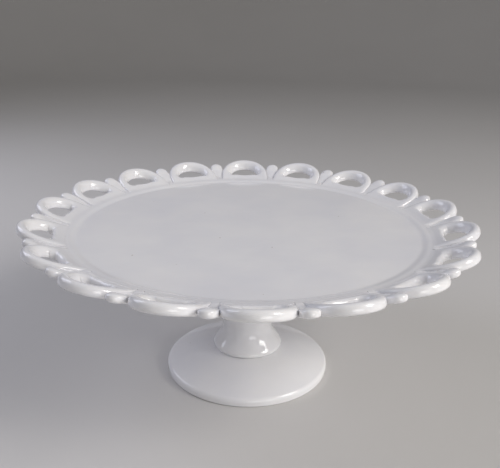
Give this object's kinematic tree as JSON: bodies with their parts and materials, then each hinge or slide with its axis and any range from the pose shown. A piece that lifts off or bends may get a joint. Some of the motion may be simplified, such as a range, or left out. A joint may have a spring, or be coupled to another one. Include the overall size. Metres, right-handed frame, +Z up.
{
  "type": "cake stand",
  "caption": "Round footed cake stand in opaque white pressed glass: a shallow well with a soft shoulder, and a flared openwork border of oval loops and small petals.",
  "frame": {"origin": "centre of the foot, on the surface that the stand rests on", "axes": "+Z up along the stem; -Y towards the centre of the first loop"},
  "size_m": [0.301, 0.305, 0.1175],
  "materials": {
    "milk_glass": "opaque white pressed glass, glossy, fire polished"
  },
  "bodies": {
    "root": {"well": "milk_glass", "rim_band": "milk_glass", "lace_loop_01": "milk_glass", "lace_loop_02": "milk_glass", "lace_loop_03": "milk_glass", "lace_loop_04": "milk_glass", "lace_loop_05": "milk_glass", "lace_loop_06": "milk_glass", "lace_loop_07": "milk_glass", "lace_loop_08": "milk_glass", "lace_loop_09": "milk_glass", "lace_loop_10": "milk_glass", "lace_loop_11": "milk_glass", "lace_loop_12": "milk_glass", "lace_loop_13": "milk_glass", "lace_loop_14": "milk_glass", "lace_loop_15": "milk_glass", "lace_loop_16": "milk_glass", "lace_loop_17": "milk_glass", "lace_loop_18": "milk_glass", "lace_petal_01": "milk_glass", "lace_petal_02": "milk_glass", "lace_petal_03": "milk_glass", "lace_petal_04": "milk_glass", "lace_petal_05": "milk_glass", "lace_petal_06": "milk_glass", "lace_petal_07": "milk_glass", "lace_petal_08": "milk_glass", "lace_petal_09": "milk_glass", "lace_petal_10": "milk_glass", "lace_petal_11": "milk_glass", "lace_petal_12": "milk_glass", "lace_petal_13": "milk_glass", "lace_petal_14": "milk_glass", "lace_petal_15": "milk_glass", "lace_petal_16": "milk_glass", "lace_petal_17": "milk_glass", "lace_petal_18": "milk_glass", "stem": "milk_glass", "foot": "milk_glass"}
  },
  "joints": []
}
